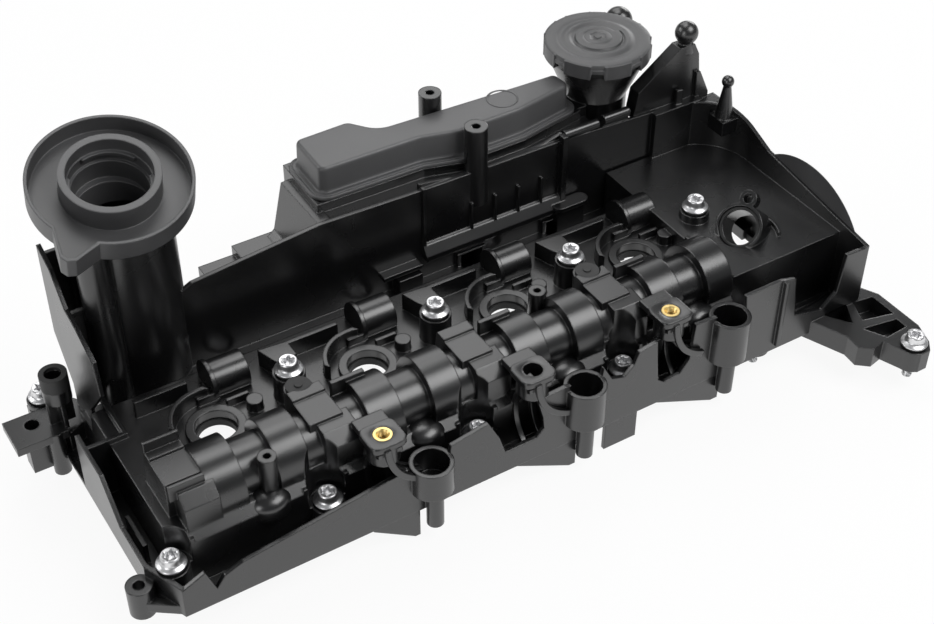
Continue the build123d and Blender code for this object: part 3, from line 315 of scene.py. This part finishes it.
def metal(name, colour, roughness, streak=0.1):
    """Plated or machined metal with faint turning marks."""
    mat = bpy.data.materials.new(name)
    mat.use_nodes = True
    tree = mat.node_tree
    shader = tree.nodes["Principled BSDF"]
    marks = noise(tree, MARKS_SCALE, MARKS_DETAIL)
    shade(tree, shader, marks, colour, MARKS_DARK, MARKS_LIGHT)
    bump(tree, shader, marks, streak, MARKS_DEPTH)
    shader.inputs["Metallic"].default_value = 1.0
    shader.inputs["Roughness"].default_value = roughness
    return mat


def pale(name, shown):
    """White that the camera and reflections see as background, keeping part of the shadow."""
    mat = bpy.data.materials.new(name)
    mat.use_nodes = True
    tree = mat.node_tree
    shader = tree.nodes["Principled BSDF"]
    out = tree.nodes["Material Output"]
    shader.inputs["Base Color"].default_value = FLOOR_COLOUR
    shader.inputs["Roughness"].default_value = 0.9
    glow = node_of(tree, "ShaderNodeEmission")
    rays = node_of(tree, "ShaderNodeLightPath")
    seen = node_of(tree, "ShaderNodeMath", operation="ADD", use_clamp=True)
    tree.links.new(rays.outputs["Is Camera Ray"], seen.inputs[0])
    tree.links.new(rays.outputs["Is Glossy Ray"], seen.inputs[1])
    clear = node_of(tree, "ShaderNodeMath", operation="ADD", use_clamp=True)
    tree.links.new(seen.outputs[0], clear.inputs[0])
    tree.links.new(rays.outputs["Is Transmission Ray"], clear.inputs[1])
    part = node_of(tree, "ShaderNodeMath", operation="MULTIPLY")
    part.inputs[1].default_value = shown
    tree.links.new(clear.outputs[0], part.inputs[0])
    mix = node_of(tree, "ShaderNodeMixShader")
    tree.links.new(part.outputs[0], mix.inputs["Fac"])
    tree.links.new(shader.outputs[0], mix.inputs[1])
    tree.links.new(glow.outputs[0], mix.inputs[2])
    tree.links.new(mix.outputs[0], out.inputs["Surface"])
    return mat


def add_floor():
    low, high = -FLOOR_HALF, FLOOR_HALF
    corners = [(low, low, FLOOR_Z), (high, low, FLOOR_Z), (high, high, FLOOR_Z), (low, high, FLOOR_Z)]
    mesh = bpy.data.meshes.new("floor")
    mesh.from_pydata(corners, [], [(0, 1, 2, 3)])
    floor = bpy.data.objects.new("floor", mesh)
    bpy.context.collection.objects.link(floor)
    mesh.materials.append(pale("floor_white", FLOOR_SHOWN))


def add_world():
    world = bpy.data.worlds.new("studio")
    bpy.context.scene.world = world
    world.use_nodes = True
    tree = world.node_tree
    out = tree.nodes["World Output"]
    seen = tree.nodes["Background"]
    seen.inputs["Strength"].default_value = 1.0
    seen.inputs["Color"].default_value = (1, 1, 1, 1)
    fill = node_of(tree, "ShaderNodeBackground")
    fill.inputs["Color"].default_value = FILL_COLOUR
    fill.inputs["Strength"].default_value = FILL_STRENGTH
    rays = node_of(tree, "ShaderNodeLightPath")
    mix = node_of(tree, "ShaderNodeMixShader")
    tree.links.new(rays.outputs["Is Camera Ray"], mix.inputs["Fac"])
    tree.links.new(fill.outputs[0], mix.inputs[1])
    tree.links.new(seen.outputs[0], mix.inputs[2])
    tree.links.new(mix.outputs[0], out.inputs["Surface"])


def add_light(name, at, size, power):
    data = bpy.data.lights.new(name, "AREA")
    data.shape = "RECTANGLE"
    data.size = size[0]
    data.size_y = size[1]
    data.energy = power
    light = bpy.data.objects.new(name, data)
    bpy.context.collection.objects.link(light)
    aim = Vector(AIM) - Vector(at)
    light.matrix_world = Matrix.Translation(at) @ aim.to_track_quat("-Z", "Y").to_matrix().to_4x4()


def skin(bm, rows):
    """Faces between each round row of corners and the next."""
    for low, high in zip(rows, rows[1:]):
        for k in range(len(low)):
            j = (k + 1) % len(low)
            bm.faces.new((low[k], low[j], high[j], high[k]))


def close_ends(bm, rows):
    bm.faces.new(rows[-1])
    bm.faces.new(list(reversed(rows[0])))


def close_turned(bm, row, middle, flip):
    """Fan of faces from a turned row to the middle of its circle."""
    for k in range(len(row)):
        pair = (row[k], row[(k + 1) % len(row)])
        bm.faces.new((middle, *(reversed(pair) if flip else pair)))


def made_of(name, bm):
    """The object made of the faces worked so far."""
    bmesh.ops.recalc_face_normals(bm, faces=bm.faces)
    mesh = bpy.data.meshes.new(name)
    bm.to_mesh(mesh)
    bm.free()
    made = bpy.data.objects.new(name, mesh)
    bpy.context.collection.objects.link(made)
    return made


def lathe(name, rings, at, segments=ROUND, ring=False):
    """A turned form about an upright axis, from (radius, height) pairs.

    A radius or height may be a function of the turn. A ring has an open middle.
    """
    bm = bmesh.new()
    rows = []
    for radius, height in rings:
        row = []
        for k in range(segments):
            turn = 2 * math.pi * k / segments
            z = height(turn) if callable(height) else height
            r = radius(turn, z) if callable(radius) else radius
            x = at[0] + r * math.cos(turn)
            y = at[1] + r * math.sin(turn)
            row.append(bm.verts.new(metres(x, y, z)))
        rows.append(row)
    if ring:
        skin(bm, rows + rows[:1])
    else:
        skin(bm, rows)
        for row, flip in ((rows[0], True), (rows[-1], False)):
            middle = bm.verts.new((at[0] * MM, at[1] * MM, row[0].co.z))
            close_turned(bm, row, middle, flip)
    return made_of(name, bm)


def smooth(obj):
    """Smooth shading that keeps sharp edges."""
    bm = bmesh.new()
    bm.from_mesh(obj.data)
    for face in bm.faces:
        face.smooth = True
    for edge in bm.edges:
        if len(edge.link_faces) == 2 and edge.calc_face_angle() > math.radians(SHARP_EDGE):
            edge.smooth = False
    bm.to_mesh(obj.data)
    bm.free()


def dress(obj, mat, body, slot, *hidden):
    """Finish a piece: smooth shading, material, the body it rides on, and the CAD nodes it stands for."""
    smooth(obj)
    obj.data.materials.append(mat)
    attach(obj, body)
    if hidden:
        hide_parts(*hidden)


def dress_soft(obj, mat, hidden):
    """Finish a piece that bends in use: smooth shading, material, its place baked into its mesh, and the
    CAD node it stands for hidden.
    """
    smooth(obj)
    obj.data.materials.append(mat)
    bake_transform(obj)
    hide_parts(hidden)


def place_of(name):
    """Middle of a CAD node in plan, its foot and its top, in mm."""
    low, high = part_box(name)
    at = ((low[0] + high[0]) / 2 / MM, (low[1] + high[1]) / 2 / MM)
    return at, low[2] / MM, high[2] / MM


def star(turn, z):
    """Six-lobed socket."""
    return SOCKET_R + SOCKET_LOBE * math.cos(6 * turn)


def thread(turn, z):
    phase = (z / THREAD_PITCH - turn / (2 * math.pi)) % 1.0
    return THREAD_R - THREAD_DEPTH * (1 - abs(2 * phase - 1))


def add_screw(name):
    at, foot, top = place_of(name)
    under = top - HEAD_H
    start = foot + TIP_H
    rings = [(TIP_R, foot), (TIP_R + 0.3, start)]
    for k in range(THREAD_TURNS + 1):
        rings.append((thread, start + THREAD_H * k / THREAD_TURNS))
    rings += [
        (SHANK_R, start + THREAD_H + 0.4),
        (SHANK_R, under - 0.6),
        (SHANK_R + 0.3, under),
        (FLANGE_R - 0.1, under + 0.05),
        (FLANGE_R, under + 0.3),
        (FLANGE_R, under + 0.9),
        (FLANGE_R - 0.3, under + 1.3),
        (HEAD_R + 0.9, under + 1.8),
        (HEAD_R + 0.2, under + 2.6),
        (HEAD_R, under + 3.4),
        (HEAD_R, top - 1.0),
        (HEAD_R - 0.2, top - 0.4),
        (HEAD_R - 0.7, top),
        (SOCKET_MOUTH_R, top),
        (star, top - 0.4),
        (star, top - SOCKET_DEPTH),
        (SOCKET_POINT_R, top - SOCKET_DEPTH - 0.3),
    ]
    dress(lathe(name + "_turned", rings, at, 48), zinc_mat, name + "_body", "zinc_steel", name)


def knurl(turn, z):
    return INSERT_R - KNURL_DEPTH * (math.cos(KNURLS * turn) > 0)


def bore_thread(turn, z):
    return thread(turn, z) - 0.05


def add_insert(name):
    """Brass bush with a chamfered mouth, a thread in its bore and a knurled outside."""
    at, foot, top = place_of(name)
    rings = [
        (knurl, foot),
        (knurl, top - 0.6),
        (INSERT_R, top - 0.3),
        (INSERT_R - 0.2, top),
        (INSERT_MOUTH_R, top),
        (INSERT_BORE_R, top - 0.6),
    ]
    for k in range(INSERT_STEPS + 1):
        rings.append((bore_thread, top - 0.8 - INSERT_THREAD_H * k / INSERT_STEPS))
    rings.append((INSERT_BORE_R + 0.1, foot))
    dress(lathe(name + "_turned", rings, at, 60, ring=True), brass_mat, "cover", "brass", name)


def window_gap(turn):
    """Angle from the nearest window of the cap."""
    return min(abs((turn - w + math.pi) % (2 * math.pi) - math.pi) for w in WINDOWS)


def skirt(turn, z):
    """Outside of the cap: its rim is notched above the windows, with a rib on each side."""
    gap = window_gap(turn)
    if WINDOW_HALF < gap < RIB_HALF:
        return CAP_OUTER - 0.1
    if gap < RIB_HALF and z > CAP_TOP - 3.2:
        return CAP_OUTER - 1.1
    return CAP_OUTER - 0.5


def skirt_foot(turn):
    return WINDOW_TOP if window_gap(turn) < WINDOW_HALF else SKIRT_FOOT


def spiral(turn, z):
    """Inner ring of the cap's top, which opens outwards over one turn."""
    return 12.8 + 2.2 * ((turn / (2 * math.pi)) % 1.0)


def nub(radius):
    return lambda turn, z: radius + 0.3 * math.cos(6 * turn)


def add_cap():
    """Snap-on cap: notched rim, ribs beside its windows, and the rings and worn centre of its top."""
    at = place_of("valve_cap")[0]
    side = [
        (CAP_INNER, CAP_UNDER),
        (CAP_INNER, skirt_foot),
        (skirt, skirt_foot),
        (skirt, CAP_TOP - 3.5),
        (skirt, CAP_TOP - 3.0),
        (skirt, CAP_TOP - 0.8),
        (32.2, CAP_TOP - 0.2),
        (31.5, CAP_TOP),
    ]
    dip = [(26.2, 0.1), (25.0, -0.2), (23.6, -0.5), (22.2, -0.2), (20.8, 0.4), (19.2, 0.8), (18.0, 0.7)]
    dip += [(16.8, 0.2)]
    swirl = [(lambda turn, z: spiral(turn, z) + 2.0, -0.3), (lambda turn, z: spiral(turn, z) + 0.8, -0.2)]
    swirl += [(spiral, 0.9)]
    centre = [(12.0, 1.2), (9.4, 1.2), (8.6, 0.9), (7.8, 1.2), (nub(5.2), 1.3), (nub(4.6), 0.9)]
    centre += [(2.4, 0.9), (2.1, 1.5), (1.0, 1.6)]
    face = [(radius, CAP_TOP + rise) for radius, rise in dip + swirl + centre]
    dress(lathe("valve_cap_turned", side + face, at, 288), cap_mat, "cover", "moulding", "valve_cap")


def rounded(corners, radii, steps=7):
    """A plan outline with its corners rounded."""
    line = []
    for k in range(len(corners)):
        here = Vector(corners[k])
        before = (Vector(corners[k - 1]) - here).normalized()
        after = (Vector(corners[(k + 1) % len(corners)]) - here).normalized()
        half = before.angle(after) / 2
        run = radii[k] / math.tan(half)
        middle = here + (before + after).normalized() * (radii[k] / math.sin(half))
        start = here + before * run - middle
        end = here + after * run - middle
        sweep = start.angle_signed(end)
        for j in range(steps + 1):
            line.append(middle + Matrix.Rotation(-sweep * j / steps, 2) @ start)
    return line


def loft(name, outline, levels):
    """A closed form from one plan outline at several heights, each grown outwards by its own amount."""
    outwards = []
    for k in range(len(outline)):
        run = (outline[(k + 1) % len(outline)] - outline[k - 1]).normalized()
        outwards.append(Vector((run.y, -run.x)))
    bm = bmesh.new()
    rows = []
    for grow, z in levels:
        row = []
        for point, out in zip(outline, outwards):
            spot = point + out * grow
            row.append(bm.verts.new(metres(spot.x, spot.y, z)))
        rows.append(row)
    skin(bm, rows)
    close_ends(bm, rows)
    return made_of(name, bm)


def add_lid():
    """Welded lid of the oil separator with rounded corners, drawn walls and a double weld rim."""
    outline = rounded(LID_CORNERS, LID_RADII)
    lid = loft("separator_lid_moulded", outline, WELD_RIM + LID_WALL + LID_EDGE)
    dress(lid, lid_mat, "cover", "moulding", "separator_lid")
    section = [(0.65, -0.1), (0.65, 0.1), (0.25, 0.3), (-0.25, 0.3), (-0.65, 0.1), (-0.65, -0.1)]
    rings = [(LID_RING_R + out, LID_TOP + rise) for out, rise in section]
    dress(lathe("lid_ring", rings, LID_RING_AT, 64, ring=True), lid_mat, "cover", "moulding")


def boss_edge(turn, z):
    """Rounded square, wider across than deep."""
    across = abs(math.cos(turn)) / BOSS_HALF_X
    deep = abs(math.sin(turn)) / BOSS_HALF_Y
    return 1.0 / (across ** BOSS_SQUARENESS + deep ** BOSS_SQUARENESS) ** (1 / BOSS_SQUARENESS)


def add_boss_plates():
    """Rounded plates that top the insert bosses."""
    rings = [
        (boss_edge, PLATE_FOOT),
        (boss_edge, PLATE_TOP - 0.7),
        (lambda turn, z: boss_edge(turn, z) - 0.6, PLATE_TOP),
        (PLATE_BORE_R + 0.6, PLATE_TOP),
        (PLATE_BORE_R, PLATE_TOP - 0.3),
        (PLATE_BORE_R, PLATE_FOOT),
    ]
    for k in range(CYLINDERS - 1):
        at = (BOSS_X + BORE_PITCH * k, BOSS_Y)
        plate = lathe("boss_plate_%d" % (k + 1), rings, at, 72, ring=True)
        dress(plate, body_mat, "cover", "moulding")


def bulge_edge(radius):
    return lambda turn, z: radius / math.hypot(math.cos(turn), math.sin(turn) / BULGE_SQUASH)


def add_bulges():
    """Rounded feet that swell from the front ledge beside each pair of humps."""
    rings = [(bulge_edge(BULGE_R), BULGE_FOOT)]
    for j in range(BULGE_STEPS):
        turn = math.pi / 2 * j / BULGE_STEPS
        rings.append((bulge_edge(BULGE_R * math.cos(turn)), BULGE_WAIST + BULGE_RISE * math.sin(turn)))
    for k in range(CYLINDERS):
        at = (BULGE_X + BORE_PITCH * k, BULGE_Y)
        dress(lathe("ledge_bulge_%d" % (k + 1), rings, at), body_mat, "cover", "moulding")


def strip(name, line, y):
    """A leg along a line of points in the XZ plane, centred on its y."""
    bm = bmesh.new()
    rows = []
    for k, spot in enumerate(line):
        run = (line[min(k + 1, len(line) - 1)] - line[max(k - 1, 0)]).normalized()
        row = []
        for side, push in ((-1, -1), (1, -1), (1, 1), (-1, 1)):
            x = spot.x - run.y * push * LEG_THICKNESS / 2
            z = spot.y + run.x * push * LEG_THICKNESS / 2
            row.append(bm.verts.new(metres(x, y + side * LEG_WIDTH / 2, z)))
        rows.append(row)
    skin(bm, rows)
    close_ends(bm, rows)
    return made_of(name, bm)


def add_legs():
    """Curved legs that carry each insert boss on the pocket beside it."""
    for k in range(CYLINDERS - 1):
        boss = Vector((BOSS_X + BORE_PITCH * k, 0))
        start, bend, end = (boss + Vector(point) for point in (LEG_START, LEG_BEND, LEG_END))
        line = []
        for j in range(LEG_STEPS + 1):
            t = j / LEG_STEPS
            line.append(start * (1 - t) ** 2 + bend * 2 * t * (1 - t) + end * t * t)
        for number, y in enumerate(LEG_YS):
            leg = strip("boss_leg_%d_%d" % (k + 1, number + 1), line, y)
            dress(leg, body_mat, "cover", "moulding")


def add_side_dome():
    """Bulged outer skin over the timing gears, swelling from the right wall."""
    bm = bmesh.new()
    rows = []
    for x, inset in DOME_PROFILE:
        run = x - DOME_X
        middle_y = DOME_MIDDLE_Y + DOME_DRIFT_Y * run
        middle_z = DOME_MIDDLE_Z + DOME_DRIFT_Z * run
        radius = DOME_R + DOME_FLARE * run - inset
        row = []
        for k in range(DOME_STEPS + 1):
            share = k / DOME_STEPS
            turn = math.radians(DOME_START + DOME_SWEEP * share)
            z = max(middle_z + radius * math.sin(turn), DOME_FOOT + DOME_FOOT_RISE * share)
            row.append(bm.verts.new(metres(x, middle_y + radius * math.cos(turn), z)))
        rows.append(row)
    skin(bm, rows)
    close_ends(bm, rows)
    dress(made_of("side_dome", bm), lid_mat, "cover", "moulding")


def add_membrane():
    """Rubber membrane of the valve, with its bead in the cup and its middle at the plate."""
    at = place_of("valve_diaphragm")[0]
    membrane = lathe("valve_membrane", MEMBRANE_UNDER + MEMBRANE_OVER, at, 96, ring=True)
    dress_soft(membrane, rubber_mat, "valve_diaphragm")


def add_spring():
    """Coil spring from the cup floor up to the underside of the plate."""
    at, foot = place_of("valve_spring")[:2]
    first = foot + COIL_WIRE_R
    last = PLATE_UNDER_Z - COIL_WIRE_R
    bm = bmesh.new()
    rows = []
    for k in range(COIL_STEPS + 1):
        share = k / COIL_STEPS
        turn = 2 * math.pi * COIL_TURNS * share
        row = []
        for j in range(COIL_SIDES):
            around = 2 * math.pi * j / COIL_SIDES
            reach = COIL_R + COIL_WIRE_R * math.cos(around)
            z = first + (last - first) * share + COIL_WIRE_R * math.sin(around)
            x = at[0] + reach * math.cos(turn)
            y = at[1] + reach * math.sin(turn)
            row.append(bm.verts.new(metres(x, y, z)))
        rows.append(row)
    skin(bm, rows)
    close_ends(bm, rows)
    coil = made_of("valve_coil", bm)
    dress_soft(coil, wire_mat, "valve_spring")


bpy.context.scene.view_settings.view_transform = "Standard"
add_camera()
add_floor()
add_world()
for name, (at, size, power) in LAMPS.items():
    add_light(name, at, size, power)

body_mat = moulded("black_nylon", BODY_BLACK, 0.27, grain=0.3, specular=1.0)
lid_mat = moulded("black_nylon_lid", LID_GREY, 0.45, grain=0.5, specular=1.0)
cap_mat = moulded("cap_nylon", CAP_GREY, 0.45, grain=0.4, edge=FINE_EDGE_R, specular=0.8)
rubber_mat = moulded("black_rubber", RUBBER_BLACK, 0.6, edge=FINE_EDGE_R)
zinc_mat = metal("zinc_plate", ZINC, 0.36, streak=0.25)
wire_mat = metal("spring_wire", STEEL, 0.3)
brass_mat = metal("brass", BRASS, 0.38)

LOOKS = {
    "filler_funnel": lid_mat,
    "separator_lid": lid_mat,
    "valve_cap": cap_mat,
    "separator_baffle": body_mat,
    "diaphragm_plate": body_mat,
    "cover_body": body_mat,
    "valve_spring": wire_mat,
    "screw_sleeves": zinc_mat,
}
for name, obj in nodes.items():
    if name in LOOKS:
        look = LOOKS[name]
    elif name.endswith("_screw") or "_screw_" in name:
        look = zinc_mat
        add_screw(name)
    elif name.startswith("brass"):
        look = brass_mat
        add_insert(name)
    else:
        look = rubber_mat
    for slot in obj.material_slots:
        slot.material = look

add_cap()
add_lid()
add_boss_plates()
add_bulges()
add_legs()
add_side_dome()
add_membrane()
add_spring()
